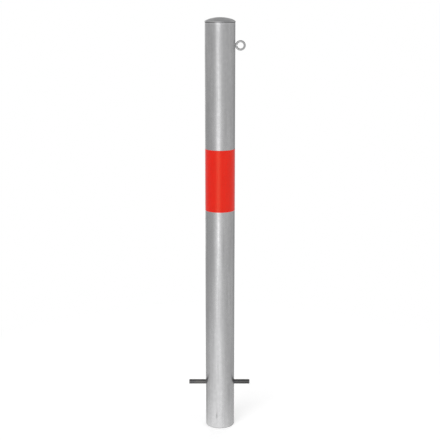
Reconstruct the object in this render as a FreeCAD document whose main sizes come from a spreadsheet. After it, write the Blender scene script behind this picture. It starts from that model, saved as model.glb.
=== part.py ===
import FreeCAD, Part
import Sketcher
import math
import os

# Steel safety bollard for setting in the ground.
#
# Frame: origin at the centre of the tube's open foot, +Z up the tube, +X towards the chain eye,
# -Y towards the front. The anchor rod lies along X. Lengths are in millimetres.

DIMENSIONS = [
    ("tube_outer_dia", 88.9, "EN 10220 tube size"),
    ("tube_wall", 3.2, "tube wall"),
    ("tube_length", 1250, "cut length of the tube"),
    ("foot_deburr", 0.5, "chamfer on both edges of the saw-cut foot"),
    ("weld_bevel", 1.2, "weld preparation on the outer edge of the tube's top"),
    ("seam_dia", 2.6, "round of the inside bead of the tube's longitudinal weld"),
    ("seam_rise", 0.7, "how far that bead stands off the bore"),
    ("vent_dia", 10, "galvanising vent at the back"),
    ("vent_drop", 25, "vent axis below the top of the tube"),
    ("rod_dia", 14, "anchor rod"),
    ("rod_length", 190, "anchor rod"),
    ("rod_height", 140, "rod axis above the foot"),
    ("rod_offset", -2, "the rod sits a little to the left"),
    ("rod_chamfer", 0.6, "both ends of the rod"),
    ("rod_hole_dia", 15, "cross holes in the tube"),
    ("rod_hole_rise", 0.35, "hole axis above the axis of the rod lying in it"),
    ("cap_dia", 90.3, "rim of the dome, just proud of the tube"),
    ("cap_sheet", 3, "thickness of the dome"),
    ("cap_crown_radius", 105, "outside radius of the crown"),
    ("cap_knuckle_radius", 5.5, "outside radius where the crown turns down"),
    ("cap_skirt", 0.5, "straight rim below the knuckle"),
    ("cap_gap", 0.8, "root gap between the tube and the dome"),
    ("cap_weld_depth", 2.4, "how far the weld reaches in from the tube's outside"),
    ("cap_weld_undercut", 0.4, "how far the bead's top edge sits inside the tube's outside"),
    ("cap_weld_bulge", 0.2, "how far the bead stands off its straight face"),
    ("eye_bar_dia", 6, "round bar of the chain eye"),
    ("eye_mean_dia", 24, "ring diameter, to the middle of the bar"),
    ("eye_height", 1185, "centre of the ring above the foot"),
    ("eye_gap", 0.2, "root gap between the ring and the tube"),
    ("eye_weld_length", 14, "weld along the tube"),
    ("eye_weld_width", 10.4, "weld across the bar"),
    ("eye_weld_reach", 4.3, "half-thickness of the heap of weld, out from its centre"),
    ("eye_weld_sink", 0.5, "centre of the heap inside the tube's surface"),
    ("band_bottom", 697, "lower edge of the reflective film"),
    ("band_height", 186, "width of the film"),
    ("band_film", 0.4, "thickness of the film"),
    ("band_overlap", 16, "length of the lap at the back, round the tube"),
]

TUBE_OUTER_RADIUS = "Dimensions.tube_outer_dia / 2"
TUBE_INNER_RADIUS = "Dimensions.tube_outer_dia / 2 - Dimensions.tube_wall"

START, END, CENTRE = 1, 2, 3
X_AXIS, Y_AXIS = -1, -2
ORIGIN = (-1, 1)


def make_sheet(doc):
    """The driving dimensions, one alias a row."""
    sheet = doc.addObject("Spreadsheet::Sheet", "Dimensions")
    for row, (alias, value, note) in enumerate(DIMENSIONS, start=1):
        sheet.set(f"A{row}", alias)
        sheet.set(f"B{row}", str(value))
        sheet.set(f"C{row}", note)
        sheet.setAlias(f"B{row}", alias)
    doc.recompute()
    return sheet


def new_body(doc, label):
    body = doc.addObject("PartDesign::Body", label)
    body.Label = label
    return body


def new_sketch(body, name, plane_role):
    """A sketch on one of the body's own origin planes."""
    plane = next(f for f in body.Origin.OriginFeatures if f.Role == plane_role)
    sketch = body.newObject("Sketcher::SketchObject", name)
    sketch.AttachmentSupport = [(plane, "")]
    sketch.MapMode = "FlatFace"
    return sketch


def drive(sketch, name, expression, kind, *where):
    """Add a dimension to the sketch and bind it to the sheet."""
    value = sketch.evalExpression(expression)
    value = float(getattr(value, "Value", value))
    index = sketch.addConstraint(Sketcher.Constraint(kind, *where, value))
    sketch.renameConstraint(index, name)
    sketch.setExpression(f"Constraints.{name}", expression)


def add_circle(sketch, name, radius, rise=None):
    """A circle on the sketch's vertical axis: at the origin, or at a height above it."""
    circle = sketch.addGeometry(Part.Circle(FreeCAD.Vector(0, 0, 0), FreeCAD.Vector(0, 0, 1), 1))
    drive(sketch, name, radius, "Radius", circle)
    if rise is None:
        sketch.addConstraint(Sketcher.Constraint("Coincident", circle, CENTRE, *ORIGIN))
    else:
        sketch.addConstraint(Sketcher.Constraint("PointOnObject", circle, CENTRE, Y_AXIS))
        drive(sketch, f"{name}_rise", rise, "DistanceY", *ORIGIN, circle, CENTRE)


def add_feature(body, kind, name, profile, bindings, **settings):
    """A feature on a profile, with its sizes bound to the sheet."""
    feature = body.newObject(f"PartDesign::{kind}", name)
    feature.Profile = profile
    for prop, value in settings.items():
        setattr(feature, prop, value)
    for prop, expression in bindings.items():
        feature.setExpression(prop, expression)
    return feature


def circular_edges(feature, radius, height):
    """Names of the full circles about Z that have this radius and height."""
    names = []
    for number, edge in enumerate(feature.Shape.Edges, start=1):
        curve = edge.Curve
        if not isinstance(curve, Part.Circle):
            continue
        same_radius = abs(curve.Radius - radius) < 1e-6
        same_height = abs(curve.Center.z - height) < 1e-6
        if same_radius and same_height:
            names.append(f"Edge{number}")
    return names


def add_chamfer(body, name, base, edges, size):
    chamfer = body.newObject("PartDesign::Chamfer", name)
    chamfer.Base = (base, edges)
    chamfer.setExpression("Size", size)
    return chamfer


def make_post_tube(doc, sheet):
    """Welded tube, cut square, with the cross holes for the rod and a vent at the back."""
    body = new_body(doc, "post_tube")
    outer_radius = sheet.tube_outer_dia / 2
    inner_radius = outer_radius - sheet.tube_wall

    section = new_sketch(body, "tube_section", "XY_Plane")
    add_circle(section, "outer_radius", TUBE_OUTER_RADIUS)
    add_circle(section, "inner_radius", TUBE_INNER_RADIUS)
    wall = add_feature(body, "Pad", "tube_wall_pad", section, {"Length": "Dimensions.tube_length"})
    doc.recompute()

    top = circular_edges(wall, outer_radius, sheet.tube_length)
    bevel = add_chamfer(body, "top_weld_bevel", wall, top, "Dimensions.weld_bevel")
    doc.recompute()

    foot = circular_edges(bevel, outer_radius, 0) + circular_edges(bevel, inner_radius, 0)
    add_chamfer(body, "foot_deburring", bevel, foot, "Dimensions.foot_deburr")

    # the low bead that welding the strip into a tube leaves along the bore
    seam = new_sketch(body, "seam_section", "XY_Plane")
    seam_centre = f"{TUBE_INNER_RADIUS} - Dimensions.seam_rise + Dimensions.seam_dia / 2"
    add_circle(seam, "seam_radius", "Dimensions.seam_dia / 2", seam_centre)
    bead = add_feature(body, "Pad", "seam_bead", seam, {"Length": "Dimensions.tube_length"})

    rod_hole = new_sketch(body, "rod_hole_circle", "YZ_Plane")
    rod_hole_rise = "Dimensions.rod_height + Dimensions.rod_hole_rise"
    add_circle(rod_hole, "rod_hole_radius", "Dimensions.rod_hole_dia / 2", rod_hole_rise)
    holes = add_feature(
        body, "Pocket", "rod_holes", rod_hole, {}, Type="ThroughAll", SideType="Symmetric"
    )

    vent_circle = new_sketch(body, "vent_circle", "XZ_Plane")
    vent_rise = "Dimensions.tube_length - Dimensions.vent_drop"
    add_circle(vent_circle, "vent_radius", "Dimensions.vent_dia / 2", vent_rise)
    vent = add_feature(body, "Pocket", "vent_hole", vent_circle, {}, Type="ThroughAll")
    doc.recompute()

    wall_behind_a_hole = math.pi / 4 * sheet.tube_wall
    require_cut(bead, holes, 2 * wall_behind_a_hole * sheet.rod_hole_dia**2)
    require_cut(holes, vent, wall_behind_a_hole * sheet.vent_dia**2)
    return body


def make_domed_cap(doc, sheet):
    """Pressed dome: a shallow crown, a tight knuckle and a short straight rim, all one thickness."""
    body = new_body(doc, "domed_cap")
    body.setExpression("Placement.Base.z", "Dimensions.tube_length + Dimensions.cap_gap")

    rim = sheet.cap_dia / 2
    sheet_thickness = sheet.cap_sheet
    knuckle_centre = FreeCAD.Vector(rim - sheet.cap_knuckle_radius, sheet.cap_skirt, 0)
    centre_distance = sheet.cap_crown_radius - sheet.cap_knuckle_radius
    drop = math.sqrt(centre_distance**2 - knuckle_centre.x**2)
    crown_centre = FreeCAD.Vector(0, knuckle_centre.y - drop, 0)
    turn = math.acos(knuckle_centre.x / centre_distance)

    def arc(centre, radius, start, end):
        circle = Part.Circle(centre, FreeCAD.Vector(0, 0, 1), radius)
        return Part.ArcOfCircle(circle, start, end)

    def point(centre, radius, angle):
        return centre + FreeCAD.Vector(radius * math.cos(angle), radius * math.sin(angle), 0)

    inner_crown = sheet.cap_crown_radius - sheet_thickness
    inner_knuckle = sheet.cap_knuckle_radius - sheet_thickness
    top_out = point(crown_centre, sheet.cap_crown_radius, math.pi / 2)
    top_in = point(crown_centre, inner_crown, math.pi / 2)
    rim_out = FreeCAD.Vector(rim, 0, 0)
    rim_in = FreeCAD.Vector(rim - sheet_thickness, 0, 0)
    rise = FreeCAD.Vector(0, sheet.cap_skirt, 0)

    profile = new_sketch(body, "dome_profile", "XZ_Plane")
    crown_out = profile.addGeometry(arc(crown_centre, sheet.cap_crown_radius, turn, math.pi / 2))
    axis_line = profile.addGeometry(Part.LineSegment(top_out, top_in))
    crown_in = profile.addGeometry(arc(crown_centre, inner_crown, turn, math.pi / 2))
    knuckle_in = profile.addGeometry(arc(knuckle_centre, inner_knuckle, 0, turn))
    skirt_in = profile.addGeometry(Part.LineSegment(rim_in + rise, rim_in))
    cut_edge = profile.addGeometry(Part.LineSegment(rim_in, rim_out))
    skirt_out = profile.addGeometry(Part.LineSegment(rim_out, rim_out + rise))
    knuckle_out = profile.addGeometry(arc(knuckle_centre, sheet.cap_knuckle_radius, 0, turn))

    joins = [
        ("Coincident", crown_out, END, axis_line, START),
        ("Coincident", axis_line, END, crown_in, END),
        ("Tangent", crown_in, START, knuckle_in, END),
        ("Tangent", knuckle_in, START, skirt_in, START),
        ("Coincident", skirt_in, END, cut_edge, START),
        ("Coincident", cut_edge, END, skirt_out, START),
        ("Tangent", skirt_out, END, knuckle_out, START),
        ("Tangent", knuckle_out, END, crown_out, START),
        ("Coincident", crown_in, CENTRE, crown_out, CENTRE),
        ("Coincident", knuckle_in, CENTRE, knuckle_out, CENTRE),
        ("PointOnObject", crown_out, CENTRE, Y_AXIS),
        ("PointOnObject", crown_out, END, Y_AXIS),
        ("PointOnObject", crown_in, END, Y_AXIS),
        ("PointOnObject", skirt_out, START, X_AXIS),
        ("Horizontal", cut_edge),
        ("Vertical", skirt_out),
        ("Vertical", skirt_in),
    ]
    for join in joins:
        profile.addConstraint(Sketcher.Constraint(*join))
    drive(profile, "crown_radius", "Dimensions.cap_crown_radius", "Radius", crown_out)
    drive(profile, "knuckle_radius", "Dimensions.cap_knuckle_radius", "Radius", knuckle_out)
    inside_of_crown = "Dimensions.cap_crown_radius - Dimensions.cap_sheet"
    drive(profile, "inner_crown_radius", inside_of_crown, "Radius", crown_in)
    drive(profile, "rim_radius", "Dimensions.cap_dia / 2", "DistanceX", *ORIGIN, skirt_out, START)
    drive(profile, "skirt", "Dimensions.cap_skirt", "DistanceY", skirt_out, START, skirt_out, END)
    revolve(body, "dome", profile)
    return body


def revolve(body, name, profile):
    """A full turn of the profile about its sketch's vertical axis."""
    feature = add_feature(body, "Revolution", name, profile, {}, Angle=360)
    feature.ReferenceAxis = (profile, ["V_Axis"])
    return feature


def make_cap_weld(doc, sheet):
    """Filler all round the join: it fills the tube's bevel and the gap under the dome."""
    body = new_body(doc, "cap_weld")
    body.setExpression("Placement.Base.z", "Dimensions.tube_length")

    outside = sheet.tube_outer_dia / 2
    root = outside - sheet.cap_weld_depth
    corners = [
        FreeCAD.Vector(root, 0, 0),
        FreeCAD.Vector(outside - sheet.weld_bevel, 0, 0),
        FreeCAD.Vector(outside, -sheet.weld_bevel, 0),
        FreeCAD.Vector(outside - sheet.cap_weld_undercut, sheet.cap_gap, 0),
        FreeCAD.Vector(root, sheet.cap_gap, 0),
    ]
    middle_of_face = (corners[2] + corners[3]) / 2 + FreeCAD.Vector(sheet.cap_weld_bulge, 0, 0)
    face_arc = Part.Arc(corners[2], middle_of_face, corners[3])

    profile = new_sketch(body, "bead_profile", "XZ_Plane")
    tube_end = profile.addGeometry(Part.LineSegment(corners[0], corners[1]))
    bevel = profile.addGeometry(Part.LineSegment(corners[1], corners[2]))
    dome_side = profile.addGeometry(Part.LineSegment(corners[3], corners[4]))
    root_side = profile.addGeometry(Part.LineSegment(corners[4], corners[0]))
    face = profile.addGeometry(face_arc)
    joins = [
        ("Coincident", tube_end, END, bevel, START),
        ("Coincident", bevel, END, face, START),
        ("Coincident", face, END, dome_side, START),
        ("Coincident", dome_side, END, root_side, START),
        ("Coincident", root_side, END, tube_end, START),
        ("PointOnObject", tube_end, START, X_AXIS),
        ("Horizontal", tube_end),
        ("Horizontal", dome_side),
        ("Vertical", root_side),
    ]
    for join in joins:
        profile.addConstraint(Sketcher.Constraint(*join))
    root_radius = f"{TUBE_OUTER_RADIUS} - Dimensions.cap_weld_depth"
    bevel_radius = f"{TUBE_OUTER_RADIUS} - Dimensions.weld_bevel"
    top_radius = f"{TUBE_OUTER_RADIUS} - Dimensions.cap_weld_undercut"
    drive(profile, "root_radius", root_radius, "DistanceX", *ORIGIN, tube_end, START)
    drive(profile, "bevel_radius", bevel_radius, "DistanceX", *ORIGIN, bevel, START)
    drive(profile, "face_radius", TUBE_OUTER_RADIUS, "DistanceX", *ORIGIN, bevel, END)
    drive(profile, "top_radius", top_radius, "DistanceX", *ORIGIN, dome_side, START)
    drive(profile, "bevel_drop", "Dimensions.weld_bevel", "DistanceY", bevel, END, *ORIGIN)
    drive(profile, "gap", "Dimensions.cap_gap", "DistanceY", *ORIGIN, dome_side, START)
    chord = "(Dimensions.weld_bevel + Dimensions.cap_gap) ^ 2 + Dimensions.cap_weld_undercut ^ 2"
    bulge = "Dimensions.cap_weld_bulge"
    drive(profile, "bead_radius", f"({chord} + 4 * {bulge} ^ 2) / (8 * {bulge})", "Radius", face)
    revolve(body, "bead", profile)
    return body


def make_chain_eye(doc):
    """Ring of round bar, its axis along Y, standing just off the tube's side."""
    ring = doc.addObject("Part::Torus", "chain_eye")
    ring.Label = "chain_eye"
    ring.setExpression("Radius1", "Dimensions.eye_mean_dia / 2")
    ring.setExpression("Radius2", "Dimensions.eye_bar_dia / 2")
    ring.Placement = FreeCAD.Placement(
        FreeCAD.Vector(0, 0, 0), FreeCAD.Rotation(FreeCAD.Vector(1, 0, 0), 90)
    )
    ring_radius = "(Dimensions.eye_mean_dia + Dimensions.eye_bar_dia) / 2"
    ring.setExpression("Placement.Base.x", f"{TUBE_OUTER_RADIUS} + Dimensions.eye_gap + {ring_radius}")
    ring.setExpression("Placement.Base.z", "Dimensions.eye_height")
    return ring


def make_eye_weld(doc, ring):
    """Filler between the ring and the tube: a rounded heap, less the tube and the ring themselves."""
    heap = doc.addObject("Part::Ellipsoid", "eye_weld_heap")
    heap.setExpression("Radius1", "Dimensions.eye_weld_length / 2")
    heap.setExpression("Radius2", "Dimensions.eye_weld_reach")
    heap.setExpression("Radius3", "Dimensions.eye_weld_width / 2")
    heap.setExpression("Placement.Base.x", f"{TUBE_OUTER_RADIUS} - Dimensions.eye_weld_sink")
    heap.setExpression("Placement.Base.z", "Dimensions.eye_height")

    tube = doc.addObject("Part::Cylinder", "tube_outside")
    tube.setExpression("Radius", TUBE_OUTER_RADIUS)
    tube.setExpression("Height", "Dimensions.tube_length")
    # turned so that the cylinder's seam line is away from the weld
    tube.Placement.Rotation = FreeCAD.Rotation(FreeCAD.Vector(0, 0, 1), 180)

    outside_tube = doc.addObject("Part::Cut", "eye_weld_outside_tube")
    outside_tube.Base = heap
    outside_tube.Tool = tube
    weld = doc.addObject("Part::Cut", "eye_weld")
    weld.Label = "eye_weld"
    weld.Base = outside_tube
    weld.Tool = ring
    return weld


def make_anchor_rod(doc, sheet):
    """Plain round bar, sheared to length, lying in the cross holes."""
    body = new_body(doc, "anchor_rod")
    body.setExpression("Placement.Base.x", "Dimensions.rod_offset")
    body.setExpression("Placement.Base.z", "Dimensions.rod_height")
    section = new_sketch(body, "rod_section", "YZ_Plane")
    add_circle(section, "rod_radius", "Dimensions.rod_dia / 2")
    length = {"Length": "Dimensions.rod_length"}
    bar = add_feature(body, "Pad", "bar", section, length, SideType="Symmetric")
    doc.recompute()

    rims = [
        f"Edge{number}"
        for number, edge in enumerate(bar.Shape.Edges, start=1)
        if isinstance(edge.Curve, Part.Circle)
    ]
    add_chamfer(body, "bar_ends", bar, rims, "Dimensions.rod_chamfer")
    return body


def make_reflective_band(doc):
    """One turn of film with a short lap at the back, where its two ends overlap."""
    film_radius = f"{TUBE_OUTER_RADIUS} + Dimensions.band_film"

    def cylinder(name, radius):
        shape = doc.addObject("Part::Cylinder", name)
        shape.setExpression("Radius", radius)
        shape.setExpression("Height", "Dimensions.band_height")
        return shape

    turn = cylinder("film_outside", film_radius)
    lap = cylinder("film_lap", f"{film_radius} + Dimensions.band_film")
    lap.setExpression("Angle", "Dimensions.band_overlap / Dimensions.tube_outer_dia * 360 / pi")
    lap.Placement.Rotation = FreeCAD.Rotation(FreeCAD.Vector(0, 0, 1), 90)

    wrapped = doc.addObject("Part::Fuse", "film_wrapped")
    wrapped.Base = turn
    wrapped.Tool = lap
    band = doc.addObject("Part::Cut", "reflective_band")
    band.Label = "reflective_band"
    band.Base = wrapped
    band.Tool = cylinder("film_inside", TUBE_OUTER_RADIUS)
    band.setExpression("Placement.Base.z", "Dimensions.band_bottom")
    return band


def require_cut(before, after, expected):
    """A pocket must take away about the volume that its hole holds in the wall."""
    removed = before.Shape.Volume - after.Shape.Volume
    if not 0.95 * expected < removed < 1.2 * expected:
        raise RuntimeError(f"{after.Label} removes {removed:.1f} mm3, not about {expected:.1f}")


def require_sound(doc, subparts):
    """Stop if any object failed to recompute, or a sub-part isn't one valid solid."""
    for obj in doc.Objects:
        if "Invalid" in obj.State or "Error" in obj.State:
            raise RuntimeError(f"{obj.Label} did not recompute: {obj.State}")
        if obj.TypeId == "Sketcher::SketchObject" and not obj.FullyConstrained:
            raise RuntimeError(f"{obj.Label} is not fully constrained")
    for subpart in subparts:
        shape = subpart.Shape
        if shape.isNull() or not shape.isValid() or len(shape.Solids) != 1:
            raise RuntimeError(f"{subpart.Label} is not one valid solid")


def main():
    doc = FreeCAD.newDocument("bollard")
    sheet = make_sheet(doc)
    ring = make_chain_eye(doc)
    subparts = [
        make_post_tube(doc, sheet),
        make_domed_cap(doc, sheet),
        make_cap_weld(doc, sheet),
        ring,
        make_eye_weld(doc, ring),
        make_anchor_rod(doc, sheet),
        make_reflective_band(doc),
    ]
    doc.recompute()
    require_sound(doc, subparts)

    os.makedirs("parts", exist_ok=True)
    for subpart in subparts:
        subpart.Shape.exportStep(f"parts/{subpart.Label}.step")
        box = subpart.Shape.BoundBox
        corners = (box.XMin, box.YMin, box.ZMin, box.XMax, box.YMax, box.ZMax)
        rounded = " ".join(f"{value:9.3f}" for value in corners)
        print(f"{subpart.Label:16s} volume {subpart.Shape.Volume:12.1f} mm3  box {rounded}")


main()
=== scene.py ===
import math

import bpy
from mathutils import Matrix, Vector, noise


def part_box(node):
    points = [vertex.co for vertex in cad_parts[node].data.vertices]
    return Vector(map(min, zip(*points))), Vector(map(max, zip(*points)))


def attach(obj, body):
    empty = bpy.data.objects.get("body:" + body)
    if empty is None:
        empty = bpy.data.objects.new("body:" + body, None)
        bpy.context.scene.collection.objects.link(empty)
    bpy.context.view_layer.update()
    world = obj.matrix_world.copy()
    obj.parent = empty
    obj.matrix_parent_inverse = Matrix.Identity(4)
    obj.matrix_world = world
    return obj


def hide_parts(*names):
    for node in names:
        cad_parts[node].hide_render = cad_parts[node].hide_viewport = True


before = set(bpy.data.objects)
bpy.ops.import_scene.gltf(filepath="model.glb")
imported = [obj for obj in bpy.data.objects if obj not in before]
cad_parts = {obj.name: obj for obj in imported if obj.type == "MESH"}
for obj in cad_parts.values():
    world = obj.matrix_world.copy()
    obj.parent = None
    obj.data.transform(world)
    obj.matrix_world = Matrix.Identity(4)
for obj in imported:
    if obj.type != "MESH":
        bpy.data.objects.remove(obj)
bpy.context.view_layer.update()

# Steel safety bollard: the looks. Metres, in the frame of the CAD model.
# +Z runs up the tube, +X points at the chain eye, -Y at the camera.

MM = 0.001
TURN = 2 * math.pi

# ---------------------------------------------------------------- sizes, from the frame

tube_low, tube_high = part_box("post_tube")
TUBE_RADIUS = (tube_high.x - tube_low.x) / 2
TUBE_TOP = tube_high.z
WALL = 3.2 * MM
BORE_RADIUS = TUBE_RADIUS - WALL
FOOT_DEBURR = 0.5 * MM
TOP_BEVEL = 1.2 * MM

rod_low, rod_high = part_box("anchor_rod")
ROD_RADIUS = (rod_high.z - rod_low.z) / 2
ROD_Z = (rod_high.z + rod_low.z) / 2
ROD_HOLE_RADIUS = ROD_RADIUS + 0.5 * MM
ROD_HOLE_Z = ROD_Z + 0.35 * MM
ROD_CHAMFER = 0.6 * MM

cap_low, cap_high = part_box("domed_cap")
CAP_RADIUS = (cap_high.x - cap_low.x) / 2
CAP_SHEET = 3 * MM
CAP_KNUCKLE = 5.5 * MM
CAP_SKIRT = 0.5 * MM

VENT_RADIUS = 5 * MM
VENT_Z = TUBE_TOP - 25 * MM

eye_low, eye_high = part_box("chain_eye")
EYE_BAR_RADIUS = (eye_high.y - eye_low.y) / 2
EYE_RADIUS = (eye_high.z - eye_low.z) / 2 - EYE_BAR_RADIUS
EYE_CENTRE = (eye_low + eye_high) / 2

band_low, band_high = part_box("reflective_band")
BAND_FILM = 0.4 * MM
BAND_LAP = 16 * MM
BAND_LAP_START = math.pi / 2

POST = "post"
ROD = "anchor_rod"


# ---------------------------------------------------------------- mesh helpers

def smooth_step(value):
    """0 below 0, 1 above 1, and a smooth rise between."""
    clamped = min(max(value, 0.0), 1.0)
    return clamped * clamped * (3 - 2 * clamped)


def bell(distance, width):
    return math.exp(-((distance / width) ** 2))


def wander(x, y, z, wavelength, seed=0.0):
    """Smooth noise of about -1 to 1 in space, with the given wavelength."""
    point = Vector((x, y, z)) / wavelength
    return noise.noise(point + Vector((seed, 2.3 * seed, -1.7 * seed)))


def zinc_skin(angle, z):
    """How far the zinc stands off the true tube, in metres: slow waves, longer up the tube."""
    x, y = TUBE_RADIUS * math.cos(angle), TUBE_RADIUS * math.sin(angle)
    slow = wander(x, y, 0.12 * z, 26 * MM, 3.1)
    fine = wander(x, y, 0.14 * z, 9 * MM, 8.4)
    return 0.085 * MM * slow + 0.014 * MM * fine


def grid_faces(rows, columns, close_rows, close_columns):
    """Quads over a grid of points stored row by row."""
    faces = []
    for row in range(rows if close_rows else rows - 1):
        next_row = (row + 1) % rows
        for column in range(columns if close_columns else columns - 1):
            next_column = (column + 1) % columns
            faces.append((
                row * columns + column,
                row * columns + next_column,
                next_row * columns + next_column,
                next_row * columns + column,
            ))
    return faces


def finish_mesh(name, points, faces, sharp_degrees=35):
    """A piece from points and faces, smooth except over sharp edges, with outward normals."""
    mesh = bpy.data.meshes.new(name)
    mesh.from_pydata([tuple(p) for p in points], [], faces)
    mesh.validate()
    piece = bpy.data.objects.new(name, mesh)
    bpy.context.scene.collection.objects.link(piece)
    face_outward(mesh)
    mesh.shade_smooth()
    mesh.set_sharp_from_angle(angle=math.radians(sharp_degrees))
    return piece


def face_outward(mesh):
    """Flip every face if the closed mesh is inside out."""
    mesh.calc_loop_triangles()
    volume = 0.0
    for triangle in mesh.loop_triangles:
        a, b, c = (mesh.vertices[i].co for i in triangle.vertices)
        volume += a.dot(b.cross(c))
    if volume < 0:
        mesh.flip_normals()


def lathe(name, profile, segments, place=None):
    """Turn a closed outline of (radius, height) points about Z.

    place(radius, angle, height, index) may move a point; a radius of 0 becomes one point.
    """
    points, rings = [], []
    for index, (radius, height) in enumerate(profile):
        if radius == 0:
            rings.append([len(points)] * segments)
            points.append(Vector((0, 0, height)))
            continue
        ring = []
        for step in range(segments):
            angle = TURN * step / segments
            r, z = place(radius, angle, height, index) if place else (radius, height)
            ring.append(len(points))
            points.append(Vector((r * math.cos(angle), r * math.sin(angle), z)))
        rings.append(ring)
    faces = []
    for ring, next_ring in zip(rings, rings[1:] + rings[:1]):
        for step in range(segments):
            after = (step + 1) % segments
            corners = [ring[step], ring[after], next_ring[after], next_ring[step]]
            unique = list(dict.fromkeys(corners))
            if len(unique) > 2:
                faces.append(unique)
    return finish_mesh(name, points, faces)


def cut_holes(piece, cutters):
    """Cut closed meshes out of a piece and keep the result as its mesh."""
    for cutter in cutters:
        step = piece.modifiers.new("hole", "BOOLEAN")
        step.operation = "DIFFERENCE"
        step.solver = "EXACT"
        step.object = cutter
    bpy.context.view_layer.update()
    graph = bpy.context.evaluated_depsgraph_get()
    result = bpy.data.meshes.new_from_object(piece.evaluated_get(graph))
    result.name = piece.name
    piece.modifiers.clear()
    piece.data = result
    result.shade_smooth()
    result.set_sharp_from_angle(angle=math.radians(35))
    for cutter in cutters:
        bpy.data.objects.remove(cutter)


def hole_cutter(name, radius, flare, inner, outer, turn):
    """A plug that cuts a round hole and eases its outer edge, lying along the turned Z axis.

    It runs from inner to outer along its axis, and widens by flare just under the tube's outside.
    """
    easing_start = math.sqrt(TUBE_RADIUS**2 - radius**2) - 1.5 * flare
    easing_end = TUBE_RADIUS + 0.5 * MM
    profile = [
        (0, inner),
        (radius, inner),
        (radius, easing_start),
        (radius + 0.35 * flare, easing_start + 0.9 * flare),
        (radius + flare, easing_end),
        (radius + flare, outer),
        (0, outer),
    ]
    cutter = lathe(name, profile, 64)
    cutter.data.transform(turn)
    return cutter


# ---------------------------------------------------------------- pieces

def make_tube():
    """The tube: zinc-rippled outside, true bore with its weld bead, eased holes."""
    segments, foot_rows, plain_rows, bore_rows = 288, 28, 148, 40
    foot, top = FOOT_DEBURR, TUBE_TOP - TOP_BEVEL

    heights = [foot + 2.5 * MM * row for row in range(foot_rows)]
    low, high = heights[-1], top - 4 * MM
    heights += [low + (high - low) * row / plain_rows for row in range(1, plain_rows + 1)]
    heights += [top - 3 * MM, top - 2 * MM, top - 1 * MM, top]
    outside = [(TUBE_RADIUS, height) for height in heights]
    profile = [(TUBE_RADIUS - FOOT_DEBURR, 0), (TUBE_RADIUS - 0.15 * MM, 0.15 * MM)]
    profile += outside
    profile += [(TUBE_RADIUS - TOP_BEVEL, TUBE_TOP), (BORE_RADIUS, TUBE_TOP)]
    for row in range(bore_rows, -1, -1):
        profile.append((BORE_RADIUS, foot + (TUBE_TOP - 1 * MM - foot) * row / bore_rows))
    profile.append((BORE_RADIUS + FOOT_DEBURR, 0))
    first_outside, last_outside = 2, 1 + len(outside)
    first_bore = last_outside + 2

    def place(radius, angle, height, index):
        if first_outside <= index <= last_outside:
            fade = smooth_step((height - foot) / (3 * MM)) * smooth_step((top - height) / (3 * MM))
            radius += zinc_skin(angle, height) * fade + foot_marks(angle, height)
        if index > first_bore:
            across = BORE_RADIUS * ((angle - math.pi / 2 + math.pi) % TURN - math.pi)
            ripple = 1 + 0.15 * wander(0, 0, height, 7 * MM)
            radius -= 0.7 * MM * bell(across, 1.1 * MM) * ripple
        return radius, height

    tube = lathe("tube", profile, segments, place)
    inner, outer = 30 * MM, TUBE_RADIUS + 4 * MM
    right = Matrix.Translation((0, 0, ROD_HOLE_Z)) @ Matrix.Rotation(math.pi / 2, 4, "Y")
    left = Matrix.Translation((0, 0, ROD_HOLE_Z)) @ Matrix.Rotation(-math.pi / 2, 4, "Y")
    back = Matrix.Translation((0, 0, VENT_Z)) @ Matrix.Rotation(-math.pi / 2, 4, "X")
    cut_holes(tube, [
        hole_cutter("right_hole", ROD_HOLE_RADIUS, 0.3 * MM, inner, outer, right),
        hole_cutter("left_hole", ROD_HOLE_RADIUS, 0.3 * MM, inner, outer, left),
        hole_cutter("vent", VENT_RADIUS, 0.4 * MM, inner, outer, back),
    ])
    return tube


def foot_marks(angle, height):
    """Marks in the zinc at the foot: a groove beside a run at the front, and short frozen tears."""
    marks = 0.0
    for bearing, low, high, width, depth in FOOT_TEARS:
        across = TUBE_RADIUS * ((angle - math.radians(bearing) + math.pi) % TURN - math.pi)
        if abs(across) > 4 * width:
            continue
        middle, half = (low + high) / 2, (high - low) / 2
        along = max(0.0, 1 - ((height - middle) / half) ** 2)
        marks += depth * bell(across, width) * along
    return marks


# bearing in degrees from +X, lowest and highest point, half-width and depth (below 0 is a groove)
FOOT_TEARS = [
    (-103.0, 30 * MM, 55 * MM, 1.0 * MM, -0.40 * MM),
    (-105.2, 28 * MM, 58 * MM, 1.0 * MM, 0.20 * MM),
    (-52.0, 4 * MM, 22 * MM, 1.6 * MM, 0.18 * MM),
    (-131.0, 3 * MM, 17 * MM, 1.8 * MM, 0.20 * MM),
    (24.0, 3 * MM, 31 * MM, 1.7 * MM, 0.25 * MM),
    (71.0, 4 * MM, 19 * MM, 2.0 * MM, 0.20 * MM),
    (148.0, 3 * MM, 26 * MM, 1.6 * MM, 0.22 * MM),
    (-163.0, 5 * MM, 40 * MM, 1.3 * MM, 0.20 * MM),
]


# the side of the dome, towards the chain eye, that came out of the press a little fuller
SHOULDER_X = 33 * MM


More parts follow.
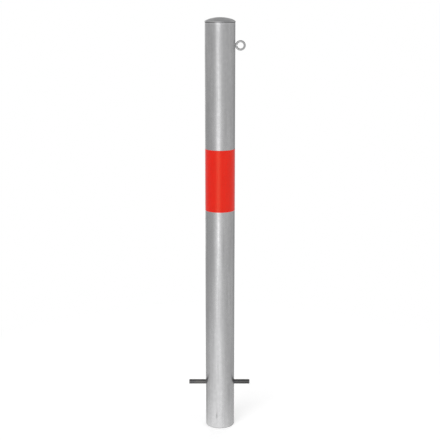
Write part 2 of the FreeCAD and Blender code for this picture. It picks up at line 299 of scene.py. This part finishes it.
def make_cap():
    """Pressed dome: crown, knuckle and short rim, one sheet thick, a little uneven from pressing."""
    reach = CAP_RADIUS - CAP_KNUCKLE
    rise = cap_high.z - cap_low.z - CAP_SKIRT
    crown = (reach**2 + rise**2 - CAP_KNUCKLE**2) / (2 * (rise - CAP_KNUCKLE))
    knuckle_z = cap_low.z + CAP_SKIRT
    crown_z = cap_high.z - crown
    turn = math.acos(reach / (crown - CAP_KNUCKLE))
    crown_steps, knuckle_steps = 28, 8
    rim_ease = 0.15 * MM

    def half(offset, downward):
        """One face of the sheet from the axis out to the rim, or back."""
        points = []
        for step in range(crown_steps + 1):
            angle = math.pi / 2 + (turn - math.pi / 2) * step / crown_steps
            radius = (crown - offset) * math.cos(angle)
            points.append((0 if step == 0 else radius, crown_z + (crown - offset) * math.sin(angle)))
        for step in range(1, knuckle_steps + 1):
            angle = turn * (1 - step / knuckle_steps)
            points.append((
                reach + (CAP_KNUCKLE - offset) * math.cos(angle),
                knuckle_z + (CAP_KNUCKLE - offset) * math.sin(angle),
            ))
        points.append((CAP_RADIUS - offset, cap_low.z + (rim_ease if offset == 0 else 0)))
        return points if downward else points[::-1]

    outside = half(0, True)
    profile = outside + [(CAP_RADIUS - rim_ease, cap_low.z)] + half(CAP_SHEET, False)

    def place(radius, angle, height, index):
        x, y = radius * math.cos(angle), radius * math.sin(angle)
        if index < len(outside):
            inside_rim = smooth_step((CAP_RADIUS - radius) / (9 * MM))
            top = 1 - smooth_step((8 * MM - radius) / (8 * MM)) * 0.6
            uneven = 0.20 * MM * wander(x, y, 0, 19 * MM, 5.0)
            uneven += 0.05 * MM * wander(x, y, 0, 6 * MM, 1.0)
            fuller = 0.6 * MM * bell(math.hypot(x - SHOULDER_X, y), 13 * MM)
            height = min(height + (uneven * top + fuller) * inside_rim, cap_high.z)
        return radius, height

    return lathe("dome", profile, 256, place)


# a spot on the bead under the cap, in plan, where the bead stands out fuller, and where a highlight is
# painted on its zinc
SEAM_FULL_AND_HIGHLIGHT_SPOT = (-9 * MM, -43.5 * MM)


def make_cap_weld():
    """A bead laid all round under the dome's rim, with the ripples of its pool."""
    ripples, steps, corners = 118, 6, 14
    columns = ripples * steps
    half_width, half_height = 0.75 * MM, 0.85 * MM
    points = []
    for column in range(columns):
        angle = TURN * column / columns
        phase = (column % steps) / steps
        x, y = TUBE_RADIUS * math.cos(angle), TUBE_RADIUS * math.sin(angle)
        heap = 1 + 0.10 * (1 - 2 * phase) + 0.16 * wander(x, y, 0, 8 * MM, 2.0)
        centre_r = TUBE_RADIUS - 1.10 * MM + 0.12 * MM * wander(x, y, 0, 14 * MM, 6.0)
        centre_r += 0.35 * MM * bell(math.hypot(x - SEAM_FULL_AND_HIGHLIGHT_SPOT[0], y - SEAM_FULL_AND_HIGHLIGHT_SPOT[1]), 8 * MM)
        centre_z = TUBE_TOP - 0.05 * MM + 0.15 * MM * wander(x, y, 0, 11 * MM, 9.0)
        for corner in range(corners):
            around = TURN * corner / corners
            r = centre_r + half_width * heap * math.cos(around)
            z = centre_z + half_height * heap * math.sin(around)
            points.append(Vector((r * math.cos(angle), r * math.sin(angle), z)))
    faces = grid_faces(columns, corners, True, True)
    return finish_mesh("cap_bead", points, faces, 60)


def make_eye():
    """Round bar bent into a ring, its two ends meeting at the tube, with a nib of zinc below."""
    around, corners = 144, 28
    half_gap = math.radians(6)
    points = []
    for step in range(around + 1):
        angle = math.pi + half_gap + (TURN - 2 * half_gap) * step / around
        below = abs((angle + math.pi / 2 + math.pi) % TURN - math.pi)
        for corner in range(corners):
            turn = TURN * corner / corners
            outward, sideways = math.cos(turn), math.sin(turn)
            bar = EYE_BAR_RADIUS
            seed = Vector((EYE_RADIUS * math.cos(angle), sideways * bar, EYE_RADIUS * math.sin(angle)))
            bar -= 0.10 * MM * abs(wander(*seed, 6 * MM, 4.0))
            bar += 0.55 * MM * bell(below, 0.16) * max(0.0, outward) ** 6 * bell(sideways, 0.5)
            r = EYE_RADIUS + bar * outward
            r = min(r, EYE_RADIUS + EYE_BAR_RADIUS)
            points.append(EYE_CENTRE + Vector((
                r * math.cos(angle),
                bar * sideways,
                r * math.sin(angle),
            )))
    faces = grid_faces(around + 1, corners, False, True)
    faces.append(tuple(range(corners)))
    faces.append(tuple(around * corners + corner for corner in range(corners))[::-1])
    return finish_mesh("eye_ring", points, faces)


def make_eye_weld():
    """The heap of weld between the ring and the tube, rippled along the tube."""
    low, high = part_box("eye_weld")
    centre = Vector((TUBE_RADIUS - 0.5 * MM, 0, (low.z + high.z) / 2))
    reach = high.x - centre.x
    half_width = (high.y - low.y) / 2
    half_length = (high.z - low.z) / 2
    rows, columns = 44, 56
    points = [centre + Vector((0, 0, -half_length))]
    for row in range(1, rows):
        slope = math.pi * row / rows - math.pi / 2
        for column in range(columns):
            angle = TURN * column / columns
            out = Vector((
                reach * math.cos(slope) * math.cos(angle),
                half_width * math.cos(slope) * math.sin(angle),
                half_length * math.sin(slope),
            ))
            ripple = 0.05 * math.sin(out.z / (0.30 * MM) + 1.6 * math.cos(2 * angle))
            lump = 0.10 * wander(*out, 4 * MM, 7.0)
            points.append(centre + out * (1 + (ripple + lump) * math.cos(slope)) * 0.97)
    points.append(centre + Vector((0, 0, half_length)))
    faces = [
        tuple(1 + index for index in quad)
        for quad in grid_faces(rows - 1, columns, False, True)
    ]
    last = len(points) - 1
    for column in range(columns):
        after = (column + 1) % columns
        faces.append((0, 1 + after, 1 + column))
        faces.append((last, last - columns + column, last - columns + after))
    return finish_mesh("eye_bead", points, faces, 60)


def make_rod():
    """Hot-rolled round bar with sheared ends, along X."""
    low_x, high_x = rod_low.x, rod_high.x
    rows = 120
    end_radius = ROD_RADIUS - ROD_CHAMFER
    profile = [(0, low_x)]
    for share in (0.3, 0.6, 0.85):
        profile.append((share * end_radius, low_x))
    profile.append((end_radius, low_x))
    start, stop = low_x + ROD_CHAMFER, high_x - ROD_CHAMFER
    for row in range(rows + 1):
        profile.append((ROD_RADIUS, start + (stop - start) * row / rows))
    profile.append((end_radius, high_x))
    for share in (0.85, 0.6, 0.3):
        profile.append((share * end_radius, high_x))
    profile.append((0, high_x))

    def place(radius, angle, height, index):
        x, y = radius * math.cos(angle), radius * math.sin(angle)
        if radius > 0.9 * ROD_RADIUS:
            radius -= 0.05 * MM * abs(wander(x, y, height, 7 * MM, 2.0))
        else:
            end = 1 if height > 0 else -1
            height -= end * 0.22 * MM * (0.5 + 0.5 * wander(x, y, end, 4 * MM, 3.0))
        return radius, height

    rod = lathe("rod", profile, 72, place)
    rod.data.transform(Matrix.Translation((0, 0, ROD_Z)) @ Matrix.Rotation(math.pi / 2, 4, "Y"))
    return rod


def make_band():
    """A strip of film wrapped once round with its end lapped over its start at the back."""
    length = TURN * TUBE_RADIUS + BAND_LAP
    columns, rows = 420, 26
    corner_radius, ramp, edge = 3 * MM, 2.5 * MM, 0.12 * MM
    points = []
    for column in range(columns + 1):
        along = length * column / columns
        angle = BAND_LAP_START + along / TUBE_RADIUS
        past_lap = along - (length - BAND_LAP)
        lift = BAND_FILM * smooth_step((past_lap + ramp) / ramp)
        to_end = min(along, length - along)
        trim = 0.0
        if to_end < corner_radius:
            trim = corner_radius - math.sqrt(corner_radius**2 - (corner_radius - to_end) ** 2)
        low, high = band_low.z + trim, band_high.z - trim
        inner = TUBE_RADIUS + lift
        section = [(inner, low), (inner + BAND_FILM - edge, low)]
        for row in range(rows + 1):
            section.append((inner + BAND_FILM, low + edge + (high - low - 2 * edge) * row / rows))
        section += [(inner + BAND_FILM - edge, high), (inner, high)]
        for radius, z in section:
            if radius > inner:
                fade = smooth_step(min(z - band_low.z, band_high.z - z) / (4 * MM))
                radius += 0.6 * zinc_skin(angle, z) * fade
            radius = min(radius, TUBE_RADIUS + 2 * BAND_FILM)
            points.append(Vector((radius * math.cos(angle), radius * math.sin(angle), z)))
    corners = rows + 5
    faces = grid_faces(columns + 1, corners, False, True)
    faces.append(tuple(range(corners)))
    faces.append(tuple(columns * corners + corner for corner in range(corners))[::-1])
    return finish_mesh("film", points, faces)


# ---------------------------------------------------------------- material helpers

class Nodes:
    """A small wrapper that makes shader nodes and links them in one call."""

    def __init__(self, tree):
        self.tree = tree
        tree.nodes.clear()

    def add(self, kind, inputs=None, **settings):
        node = self.tree.nodes.new(kind)
        for name, value in settings.items():
            setattr(node, name, value)
        for key, value in (inputs or {}).items():
            self.feed(node.inputs[key], value)
        return node

    def feed(self, socket, value):
        if isinstance(value, bpy.types.NodeSocket):
            self.tree.links.new(value, socket)
        else:
            socket.default_value = value

    def position(self, stretch=(1, 1, 1)):
        """Where a point is on the object, in metres, stretched axis by axis."""
        source = self.add("ShaderNodeTexCoord").outputs["Object"]
        mapped = self.add("ShaderNodeMapping", {"Vector": source, "Scale": stretch})
        return mapped.outputs["Vector"]

    def noise(self, vector, per_metre, detail=3.0, rough=0.5, distort=0.0):
        inputs = {
            "Vector": vector,
            "Scale": per_metre,
            "Detail": detail,
            "Roughness": rough,
            "Distortion": distort,
        }
        return self.add("ShaderNodeTexNoise", inputs).outputs["Fac"]

    def cells(self, vector, per_metre, feature="F1", output="Distance"):
        inputs = {"Vector": vector, "Scale": per_metre}
        return self.add("ShaderNodeTexVoronoi", inputs, feature=feature).outputs[output]

    def spread(self, value, low, high, to_low, to_high):
        """Map low..high onto to_low..to_high, held at both ends."""
        names = ("Value", "From Min", "From Max", "To Min", "To Max")
        inputs = dict(zip(names, (value, low, high, to_low, to_high)))
        return self.add("ShaderNodeMapRange", inputs, clamp=True).outputs["Result"]

    def maths(self, operation, first, second=0.0):
        node = self.add("ShaderNodeMath", operation=operation)
        self.feed(node.inputs[0], first)
        self.feed(node.inputs[1], second)
        return node.outputs["Value"]

    def touch(self, centre, half_sizes, factor):
        """1 everywhere but near centre, where it eases to factor."""
        scale = [1 / half for half in half_sizes]
        offset = [-c / half for c, half in zip(centre, half_sizes)]
        place = self.add("ShaderNodeTexCoord").outputs["Object"]
        near = self.add("ShaderNodeMapping", {"Vector": place, "Scale": scale, "Location": offset})
        away = self.add("ShaderNodeVectorMath", {0: near.outputs["Vector"]}, operation="LENGTH")
        square = self.maths("POWER", away.outputs["Value"], 2.0)
        fall = self.maths("EXPONENT", self.maths("MULTIPLY", square, -1.0))
        return self.maths("ADD", self.maths("MULTIPLY", fall, factor - 1), 1.0)

    def dot(self, vector, direction):
        inputs = {0: vector, 1: direction}
        return self.add("ShaderNodeVectorMath", inputs, operation="DOT_PRODUCT").outputs["Value"]

    def blend(self, share, first, second):
        """Mix two colours."""
        node = self.add("ShaderNodeMix", data_type="RGBA")
        self.feed(node.inputs["Factor"], share)
        self.feed(node.inputs["A"], first)
        self.feed(node.inputs["B"], second)
        return node.outputs["Result"]

    def bump(self, height, depth, strength=1.0, after=None):
        inputs = {"Height": height, "Distance": depth, "Strength": strength}
        if after is not None:
            inputs["Normal"] = after
        return self.add("ShaderNodeBump", inputs).outputs["Normal"]

    def surface(self, **inputs):
        """The finished surface, from inputs named as on the shader with _ for spaces."""
        named = {key.replace("_", " "): value for key, value in inputs.items()}
        shader = self.add("ShaderNodeBsdfPrincipled", named)
        self.add("ShaderNodeOutputMaterial", {"Surface": shader.outputs["BSDF"]})


def grey(level):
    return (level, level, level, 1)


def new_material(name):
    material = bpy.data.materials.new(name)
    material.use_nodes = True
    return material, Nodes(material.node_tree)


# ---------------------------------------------------------------- materials

def zinc(name, level, roughness, cloud=0.10, streaks=0.5, grain=1.0, touches=()):
    """Hot-dip zinc: cloudy satin grey with soft crystals, runs down the tube and fine pits.

    Each touch is (centre, half-sizes, factor): a soft spot that is darker or lighter.
    """
    material, nodes = new_material(name)

    clouds = nodes.noise(nodes.position((1, 1, 0.4)), 18, 3, 0.5, 0.3)
    crystals = nodes.cells(nodes.position((1, 1, 0.7)), 130, "SMOOTH_F1")
    broad_runs = nodes.noise(nodes.position((1, 1, 0.04)), 70, 2, 0.5)
    runs = nodes.noise(nodes.position((1, 1, 0.025)), 230, 2, 0.5)
    fine = nodes.noise(nodes.position((1, 1, 0.35)), 900, 3, 0.6)

    tone = nodes.spread(clouds, 0.3, 0.7, 1 - cloud, 1 + cloud)
    for value, low, high, to_low, to_high in (
        (crystals, 0.1, 0.6, 1.03, 0.96),
        (broad_runs, 0.3, 0.7, 1 - 0.10 * streaks, 1 + 0.10 * streaks),
        (runs, 0.3, 0.7, 1 - 0.08 * streaks, 1 + 0.08 * streaks),
        (fine, 0.25, 0.75, 0.97, 1.025),
    ):
        tone = nodes.maths("MULTIPLY", tone, nodes.spread(value, low, high, to_low, to_high))
    for touch in touches:
        tone = nodes.maths("MULTIPLY", tone, nodes.touch(*touch))
    colour = nodes.add("ShaderNodeVectorMath", {0: (level, level, 1.01 * level)}, operation="SCALE")
    nodes.feed(colour.inputs["Scale"], tone)

    dull = nodes.spread(clouds, 0.3, 0.7, roughness + 0.03, roughness - 0.03)
    dull = nodes.maths("ADD", dull, nodes.spread(runs, 0.3, 0.7, 0.03, -0.03))
    dull = nodes.maths("ADD", dull, nodes.spread(crystals, 0.1, 0.6, -0.02, 0.02))

    relief = nodes.maths("ADD", nodes.maths("MULTIPLY", crystals, 0.35), runs)
    normal = nodes.bump(relief, 0.04 * MM * grain, 0.4)
    normal = nodes.bump(fine, 0.005 * MM * grain, 0.4, normal)
    nodes.surface(
        Base_Color=colour.outputs["Vector"], Metallic=1.0, Roughness=dull, Normal=normal
    )
    return material


def mill_scale(name):
    """Black hot-rolled skin: blue-black scale with rusty brown patches and rolling marks."""
    material, nodes = new_material(name)
    place = nodes.position()
    along = nodes.position((0.07, 1, 1))
    patches = nodes.noise(place, 60, 4, 0.6, 0.6)
    lines = nodes.noise(along, 700, 3, 0.6)
    flakes = nodes.noise(place, 420, 4, 0.65)
    blue_black, brown = (0.12, 0.122, 0.128, 1), (0.18, 0.174, 0.168, 1)
    worn = (0.22, 0.20, 0.18, 1)
    colour = nodes.blend(nodes.spread(patches, 0.35, 0.7, 0, 1), blue_black, brown)
    colour = nodes.blend(nodes.spread(flakes, 0.62, 0.74, 0, 0.5), colour, worn)
    dull = nodes.spread(patches, 0.3, 0.7, 0.24, 0.34)
    dull = nodes.maths("ADD", dull, nodes.spread(lines, 0.3, 0.7, -0.05, 0.06))
    normal = nodes.bump(lines, 0.03 * MM, 0.6)
    normal = nodes.bump(flakes, 0.03 * MM, 0.5, normal)
    # painted shade: the bar's underside is darkened to a quarter of its colour. The bar is also a little
    # darker towards its right end, and lighter at its bare sheared ends.
    below = nodes.touch((0, 0, ROD_Z - ROD_RADIUS), (1, 1, 0.8 * ROD_RADIUS), 0.25)
    right = nodes.touch((rod_high.x, 0, ROD_Z), (55 * MM, 1, 1), 0.80)
    shade = nodes.maths("MULTIPLY", below, right)
    for end in (rod_low.x, rod_high.x):
        shade = nodes.maths("MULTIPLY", shade, nodes.touch((end, 0, ROD_Z), (0.7 * MM, 1, 1), 1.8))
    dark = nodes.add("ShaderNodeVectorMath", {0: colour}, operation="SCALE")
    nodes.feed(dark.inputs["Scale"], shade)
    nodes.surface(
        Base_Color=dark.outputs["Vector"], Metallic=0.9, Roughness=dull, Normal=normal
    )
    return material


def red_film(name):
    """Red retro-reflective film: glossy, with a faint net of sealed cells under the surface."""
    material, nodes = new_material(name)
    place = nodes.position()
    net = nodes.cells(place, 320, "DISTANCE_TO_EDGE")
    clouds = nodes.noise(place, 30, 3, 0.5)
    dust = nodes.noise(nodes.position((1, 1, 0.2)), 160, 3, 0.6)
    cell = nodes.spread(net, 0.02, 0.10, 0, 1)
    deep_red, light_red = (0.71, 0.0015, 0.002, 1), (0.77, 0.003, 0.003, 1)
    net_red, dirt_and_shade_red = (0.62, 0.002, 0.002, 1), (0.10, 0.008, 0.008, 1)
    red = nodes.blend(nodes.spread(clouds, 0.3, 0.7, 0, 1), deep_red, light_red)
    colour = nodes.blend(cell, net_red, red)
    # a dark line along the end of the lap: dirt caught at the step, and painted shade of the film's
    # lifted edge
    lap_end = BAND_LAP_START + BAND_LAP / TUBE_RADIUS
    lap = (TUBE_RADIUS * math.cos(lap_end), TUBE_RADIUS * math.sin(lap_end), 0)
    dirt_and_step_shade = nodes.maths("SUBTRACT", 1.0, nodes.touch(lap, (0.7 * MM, 9 * MM, 5), 0.35))
    colour = nodes.blend(dirt_and_step_shade, colour, dirt_and_shade_red)
    dull = nodes.spread(dust, 0.3, 0.7, 0.1, 0.14)
    normal = nodes.bump(cell, 0.02 * MM, 0.35)
    nodes.surface(
        Base_Color=colour,
        Metallic=0.0,
        Roughness=dull,
        Normal=normal,
        Specular_IOR_Level=0.6,
        Specular_Tint=(1, 0.9, 0.5, 1),
        Sheen_Weight=0.3,
        Sheen_Roughness=0.30,
        Sheen_Tint=grey(0.8),
    )
    return material


# ---------------------------------------------------------------- assembly

def fit_piece(piece, body, node, material):
    """Give a piece its material and its body, and hide the CAD node it stands for."""
    piece.data.materials.clear()
    piece.data.materials.append(material)
    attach(piece, body)
    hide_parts(node)


# soft spots on the zinc: (centre, half-sizes, factor). In order: a dark mark in the groove at the foot;
# darker along the foot; a painted highlight along the top edge; two darker patches low on the front
# right; a dark streak up the front
TUBE_TOUCHES = [
    ((-10 * MM, -43.3 * MM, 42 * MM), (1.1 * MM, 6 * MM, 10 * MM), 0.42),
    ((0, 0, 0), (200 * MM, 200 * MM, 1.8 * MM), 0.52),
    # painted highlight: the zinc along the top edge is made lighter, where the bevel catches the light
    ((0, 0, TUBE_TOP - 1.6 * MM), (200 * MM, 200 * MM, 2.2 * MM), 1.3),
    ((27 * MM, -35 * MM, 118 * MM), (4.5 * MM, 14 * MM, 34 * MM), 0.86),
    ((34 * MM, -28 * MM, 205 * MM), (5 * MM, 14 * MM, 60 * MM), 0.93),
    ((9.5 * MM, -43 * MM, 590 * MM), (1.6 * MM, 8 * MM, 55 * MM), 0.86),
]
# painted highlight: the dark bead's zinc is made three times lighter where the tube's highlight crosses
# it
SEAM_PAINTED_HIGHLIGHT = [
    ((SEAM_FULL_AND_HIGHLIGHT_SPOT[0], SEAM_FULL_AND_HIGHLIGHT_SPOT[1], TUBE_TOP), (8 * MM, 10 * MM, 8 * MM), 3.0),
]


def build():
    tube_zinc = zinc("tube_zinc", 0.62, 0.29, cloud=0.05, streaks=0.6, touches=TUBE_TOUCHES)
    cap_zinc = zinc("cap_zinc", 0.62, 0.34, cloud=0.16, streaks=0.1)
    # painted shade: the bead's zinc is made very dark to stand in for the shade in the groove under the
    # dome's rim
    seam_zinc_painted_shade = zinc("seam_zinc_painted_shade", 0.18, 0.42, 0.2, 0.2, grain=2.0, touches=SEAM_PAINTED_HIGHLIGHT)
    eye_zinc = zinc("eye_zinc", 0.55, 0.33, cloud=0.14, streaks=0.1)
    weld_zinc = zinc("weld_zinc", 0.50, 0.36, cloud=0.14, streaks=0.2, grain=2.0)
    fit_piece(make_tube(), POST, "post_tube", tube_zinc)
    fit_piece(make_cap(), POST, "domed_cap", cap_zinc)
    fit_piece(make_cap_weld(), POST, "cap_weld", seam_zinc_painted_shade)
    fit_piece(make_eye(), POST, "chain_eye", eye_zinc)
    fit_piece(make_eye_weld(), POST, "eye_weld", weld_zinc)
    fit_piece(make_rod(), ROD, "anchor_rod", mill_scale("rod_scale"))
    fit_piece(make_band(), POST, "reflective_band", red_film("red_film"))


# ---------------------------------------------------------------- studio

CAMERA_DISTANCE = 2.7015
CAMERA_HEIGHT = 1.3023
CAMERA_PITCH = math.radians(13.286)
CAMERA_LENS = 74.9
FLOOR_SIZE = 60.0
FLOOR_GLOW_SIZE = 5
SOFT_BOX = (2.4, 2.4)
STRIP_DISTANCE = 2.0
STRIP_HEIGHT = 1.12
STRIP_BEARING = math.radians(-12.6)
BACK_BEARING = math.radians(-158)
ROOM_BEARING = math.radians(35)
# lighter and darker parts of the room: (direction, cosines at which it starts and is full, amount)
ROOM_PATCHES = [
    ((0.469, 0.883, 0.0), 0.84, 0.97, -0.13),
    ((0.65, -0.10, 0.75), 0.75, 0.97, -0.24),
    ((0.10, -0.44, 0.89), 0.82, 0.97, -0.20),
    ((-0.65, -0.10, 0.75), 0.75, 0.97, 0.06),
]


def aim(thing, position, target):
    thing.location = position
    direction = Vector(target) - Vector(position)
    thing.rotation_euler = direction.to_track_quat("-Z", "Y").to_euler()


def make_camera():
    data = bpy.data.cameras.new("camera")
    data.lens = CAMERA_LENS
    data.sensor_width = 36
    data.clip_end = 100
    camera = bpy.data.objects.new("camera", data)
    bpy.context.scene.collection.objects.link(camera)
    camera.location = (0, -CAMERA_DISTANCE, CAMERA_HEIGHT)
    camera.rotation_euler = (math.pi / 2 - CAMERA_PITCH, 0, 0)
    bpy.context.scene.camera = camera


def flat_card(name, width, depth):
    """A plain rectangle that belongs to the studio, not to the object."""
    x, y = width / 2, depth / 2
    mesh = bpy.data.meshes.new(name)
    mesh.from_pydata([(-x, -y, 0), (x, -y, 0), (x, y, 0), (-x, y, 0)], [], [(0, 1, 2, 3)])
    card = bpy.data.objects.new(name, mesh)
    bpy.context.scene.collection.objects.link(card)
    return card


def make_floor():
    """A pale floor that takes a soft shadow near the foot and fades to plain white further out."""
    floor = flat_card("floor", FLOOR_SIZE, FLOOR_SIZE)
    floor.visible_glossy = False
    material, nodes = new_material("floor_paint")
    place = nodes.add("ShaderNodeTexCoord").outputs["Object"]
    radius = nodes.add("ShaderNodeVectorMath", {0: place}, operation="LENGTH").outputs["Value"]
    paint = nodes.add("ShaderNodeBsdfPrincipled", {
        "Base Color": grey(0.80),
        "Roughness": 0.9,
        "Emission Color": grey(1),
        "Emission Strength": 0.40,
    })
    white = nodes.add("ShaderNodeEmission", {"Color": grey(1), "Strength": 1.0})
    both = nodes.add("ShaderNodeMixShader", {"Fac": nodes.spread(radius, 0.25, 1.2, 0, 1)})
    nodes.feed(both.inputs[1], paint.outputs["BSDF"])
    nodes.feed(both.inputs[2], white.outputs["Emission"])
    nodes.add("ShaderNodeOutputMaterial", {"Surface": both.outputs["Shader"]})
    floor.data.materials.append(material)


def glowing(card, nodes, strength):
    """Let a card add light to what reflections see past it, and be seen by nothing else."""
    glow = nodes.add("ShaderNodeEmission", {"Color": grey(1), "Strength": strength})
    clear = nodes.add("ShaderNodeBsdfTransparent")
    both = nodes.add("ShaderNodeAddShader")
    nodes.feed(both.inputs[0], glow.outputs["Emission"])
    nodes.feed(both.inputs[1], clear.outputs["BSDF"])
    nodes.add("ShaderNodeOutputMaterial", {"Surface": both.outputs["Shader"]})
    card.visible_camera = False
    card.visible_diffuse = False
    card.visible_shadow = False


def make_strip(name, bearing, half_width, peak):
    """A tall card that only reflections see, brightest along its middle."""
    card = flat_card(name, 3.0, 2.2)
    aim(card, at_bearing(bearing, STRIP_DISTANCE, STRIP_HEIGHT), (0, 0, STRIP_HEIGHT))
    material, nodes = new_material(name)
    card.data.materials.append(material)
    across = nodes.add("ShaderNodeSeparateXYZ", {
        "Vector": nodes.add("ShaderNodeTexCoord").outputs["Object"],
    }).outputs["X"]
    glowing(card, nodes, soft_bell(nodes, across, half_width, peak))


def soft_bell(nodes, distance, width, peak):
    """peak at 0, falling smoothly to nothing a few widths away."""
    share = nodes.maths("DIVIDE", distance, width)
    square = nodes.maths("MULTIPLY", share, share)
    fall = nodes.maths("EXPONENT", nodes.maths("MULTIPLY", square, -1.0))
    return nodes.maths("MULTIPLY", fall, peak)


def make_floor_glow():
    """What reflections see of the lit floor: a ring round the foot, and a pool under the strip."""
    card = flat_card("floor_glow", FLOOR_GLOW_SIZE, FLOOR_GLOW_SIZE)
    card.location = (0, 0, -0.002)
    material, nodes = new_material("floor_glow")
    card.data.materials.append(material)
    place = nodes.add("ShaderNodeTexCoord").outputs["Object"]
    parts = nodes.add("ShaderNodeSeparateXYZ", {"Vector": place})
    radius = nodes.add("ShaderNodeVectorMath", {0: place}, operation="LENGTH").outputs["Value"]
    toward = nodes.maths("MULTIPLY", parts.outputs["Y"], -1.0)
    bearing = nodes.maths("ARCTAN2", parts.outputs["X"], toward)
    off = nodes.maths("ADD", bearing, -STRIP_BEARING)
    width = nodes.spread(radius, 0.3, 1.3, 0.80, 0.42)
    pool = soft_bell(nodes, off, width, nodes.spread(radius, 0.3, 1.3, 0.38, 0.56))
    left = soft_bell(nodes, nodes.maths("ADD", bearing, 1.2), 0.9, 0.30)
    left = nodes.maths("MULTIPLY", left, nodes.spread(radius, 0.5, 1.6, 1, 0))
    ring = nodes.spread(radius, 0.05, 0.45, 0.12, 0)
    total = nodes.maths("ADD", nodes.maths("ADD", pool, left), ring)
    glowing(card, nodes, total)


def make_light(name, position, target, watts):
    """A soft box that lights the surfaces it faces and isn't seen in reflections."""
    data = bpy.data.lights.new(name, "AREA")
    data.shape = "RECTANGLE"
    data.size, data.size_y = SOFT_BOX
    data.energy = watts
    light = bpy.data.objects.new(name, data)
    bpy.context.scene.collection.objects.link(light)
    aim(light, position, target)
    light.visible_glossy = False
    light.visible_camera = False


def at_bearing(bearing, distance, height):
    """A place round the post: bearing 0 is in front, and it grows to the right."""
    return (distance * math.sin(bearing), -distance * math.cos(bearing), height)


def make_world():
    """White to the camera; to everything else a grey room, brighter at the front right, with patches."""
    world = bpy.data.worlds.new("studio")
    world.use_nodes = True
    bpy.context.scene.world = world
    nodes = Nodes(world.node_tree)
    direction = nodes.add("ShaderNodeTexCoord").outputs["Generated"]
    bright_side = (math.sin(ROOM_BEARING), -math.cos(ROOM_BEARING), 0)
    room = nodes.spread(nodes.dot(direction, bright_side), -0.6, 0.97, 0.45, 0.625)
    for toward, start, full, amount in ROOM_PATCHES:
        patch = nodes.spread(nodes.dot(direction, toward), start, full, 0, amount)
        room = nodes.maths("ADD", room, patch)
    parts = nodes.add("ShaderNodeSeparateXYZ", {"Vector": direction})
    left_share = nodes.spread(parts.outputs["X"], -0.6, 0, 0.15, 0)
    height = nodes.maths("ADD", parts.outputs["Z"], -0.01)
    room = nodes.maths("ADD", room, soft_bell(nodes, height, 0.06, left_share))
    seen = nodes.add("ShaderNodeLightPath").outputs["Is Camera Ray"]
    strength = nodes.add("ShaderNodeMix", data_type="FLOAT")
    nodes.feed(strength.inputs["Factor"], seen)
    nodes.feed(strength.inputs["A"], room)
    nodes.feed(strength.inputs["B"], 1.0)
    inputs = {"Color": grey(1), "Strength": strength.outputs["Result"]}
    back = nodes.add("ShaderNodeBackground", inputs)
    nodes.add("ShaderNodeOutputWorld", {"Surface": back.outputs["Background"]})


def make_studio():
    bpy.context.scene.view_settings.view_transform = "Standard"
    middle = (0, 0, 0.65)
    make_world()
    make_floor()
    make_floor_glow()
    make_strip("front_strip", STRIP_BEARING, 0.55, 0.85)
    make_strip("back_strip", BACK_BEARING, 0.45, 0.55)
    make_light("key", (-1.6, -2.6, 2.8), middle, 60)
    make_light("fill", (2.6, -1.2, 2.2), middle, 25)
    make_light("rear", (0.6, 2.8, 2.4), middle, 25)


build()
make_camera()
make_studio()
